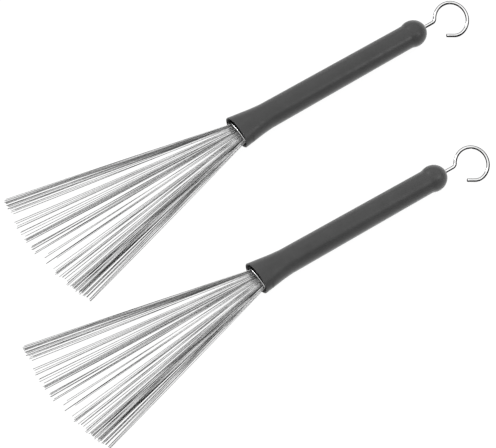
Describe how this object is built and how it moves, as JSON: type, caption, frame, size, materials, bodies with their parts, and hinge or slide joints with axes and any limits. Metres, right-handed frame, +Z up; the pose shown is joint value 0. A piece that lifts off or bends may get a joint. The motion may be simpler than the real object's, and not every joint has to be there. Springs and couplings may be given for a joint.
{
  "type": "wire drum brushes",
  "caption": "Pair of retractable wire drum brushes: a flat fan of steel wires slides through a flared rubber-gripped handle tube, pulled by a wire hook at the rear end.",
  "frame": {"origin": "middle of the pair's overall box, on the surface that the brushes lie on", "axes": "+X along both handles, from the fan to the hook, +Y from the left brush to the right brush, +Z up"},
  "size_m": [0.376, 0.1898, 0.0168],
  "materials": {
    "grip_rubber": "matt dark grey moulded rubber",
    "tube_metal": "bright polished rim, satin bore",
    "nylon": "natural nylon",
    "bumper_rubber": "soft black rubber",
    "ferrule_steel": "turned steel",
    "seal_rubber": "nitrile O-ring",
    "rod_steel": "turned steel",
    "hook_chrome": "polished chrome",
    "wire_steel": "drawn spring steel wire, bright"
  },
  "bodies": {
    "right_handle": {"right_rubber_grip": "grip_rubber", "right_handle_tube": "tube_metal", "right_end_bushing": "nylon", "right_bumper_washer": "bumper_rubber"},
    "right_wire_carrier": {"right_ferrule": "ferrule_steel", "right_drag_ring": "seal_rubber", "right_ferrule_cap": "ferrule_steel", "right_wires_lower": "wire_steel", "right_wires_middle": "wire_steel", "right_wires_upper": "wire_steel"},
    "right_pull_rod": {"right_rod_head": "rod_steel", "right_pull_hook": "hook_chrome"},
    "left_handle": {"left_rubber_grip": "grip_rubber", "left_handle_tube": "tube_metal", "left_end_bushing": "nylon", "left_bumper_washer": "bumper_rubber"},
    "left_wire_carrier": {"left_ferrule": "ferrule_steel", "left_drag_ring": "seal_rubber", "left_ferrule_cap": "ferrule_steel", "left_wires_lower": "wire_steel", "left_wires_middle": "wire_steel", "left_wires_upper": "wire_steel"},
    "left_pull_rod": {"left_rod_head": "rod_steel", "left_pull_hook": "hook_chrome"}
  },
  "joints": [
    {"name": "right_retract", "type": "slide", "parent": "right_handle", "child": "right_wire_carrier", "axis": [1, 0, 0], "range_m": [0, 0.084], "deforming": ["right_wires_lower", "right_wires_middle", "right_wires_upper"]},
    {"name": "right_hook_swivel", "type": "hinge", "parent": "right_wire_carrier", "child": "right_pull_rod", "pos_m": [0.05217, 0.05478, 0.0084], "axis": [1, 0, 0], "continuous": true},
    {"name": "left_retract", "type": "slide", "parent": "left_handle", "child": "left_wire_carrier", "axis": [1, 0, 0], "range_m": [0, 0.084], "deforming": ["left_wires_lower", "left_wires_middle", "left_wires_upper"]},
    {"name": "left_hook_swivel", "type": "hinge", "parent": "left_wire_carrier", "child": "left_pull_rod", "pos_m": [-0.00052, -0.04242, 0.0084], "axis": [1, 0, 0], "continuous": true},
    {"name": "left_lift_off", "type": "slide", "parent": "right_handle", "child": "left_handle", "axis": [0, 0, 1], "range_m": [0, 0.12]}
  ]
}
